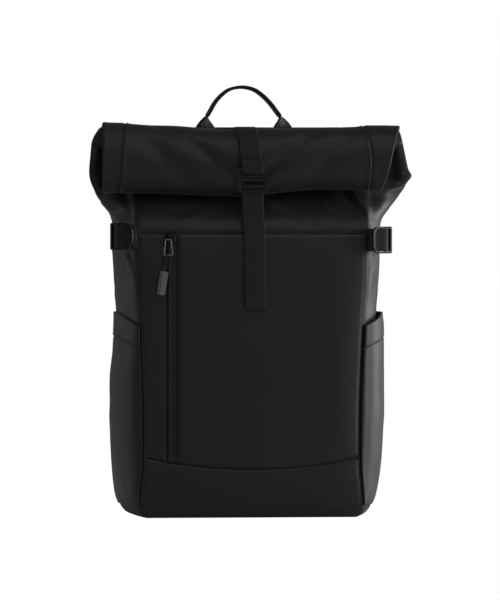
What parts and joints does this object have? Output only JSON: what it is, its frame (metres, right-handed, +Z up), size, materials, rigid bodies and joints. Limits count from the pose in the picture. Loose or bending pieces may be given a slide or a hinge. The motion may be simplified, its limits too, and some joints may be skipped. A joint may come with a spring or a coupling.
{
  "type": "rolltop backpack",
  "caption": "Black rolltop backpack of coated cloth with a rolled closure, a centre strap with a hook buckle, side straps, side pockets and a vertical front zip.",
  "frame": {"origin": "centre of the flat base, on the surface the bag stands on", "axes": "+Z up, -Y out of the bag's front, +X to the right of a viewer who faces the front"},
  "size_m": [0.3421, 0.1917, 0.4585],
  "materials": {
    "shell_cloth": "matte, smooth, soft sheen",
    "webbing": "matte, ribbed",
    "zip_tape": "matte",
    "back_padding": "matte mesh",
    "black_metal": "satin",
    "black_plastic": "satin",
    "grey_rubber": "matte"
  },
  "bodies": {
    "root": {"front_base_panel": "shell_cloth", "front_panel_edge": "shell_cloth", "front_panel_main": "shell_cloth", "zip_tape": "zip_tape", "front_yoke": "shell_cloth", "side_panel_left": "shell_cloth", "side_panel_right": "shell_cloth", "back_panel": "back_padding", "bottom_panel": "shell_cloth", "rolltop_centre": "shell_cloth", "roll_end_left": "shell_cloth", "roll_end_right": "shell_cloth", "side_pocket_left": "shell_cloth", "side_pocket_right": "shell_cloth", "centre_strap_upper": "webbing", "centre_strap_tail": "webbing", "hook_buckle": "black_metal", "side_strap_left": "webbing", "side_buckle_left": "black_metal", "side_strap_right": "webbing", "side_buckle_right": "black_metal", "zip_slider": "black_metal", "pull_ring": "black_metal", "pull_cord": "webbing", "pull_grip": "grey_rubber", "grab_handle": "webbing", "shoulder_strap_left": "back_padding", "ladder_buckle_left": "black_plastic", "lower_webbing_left": "webbing", "shoulder_strap_right": "back_padding", "ladder_buckle_right": "black_plastic", "lower_webbing_right": "webbing"}
  },
  "joints": []
}
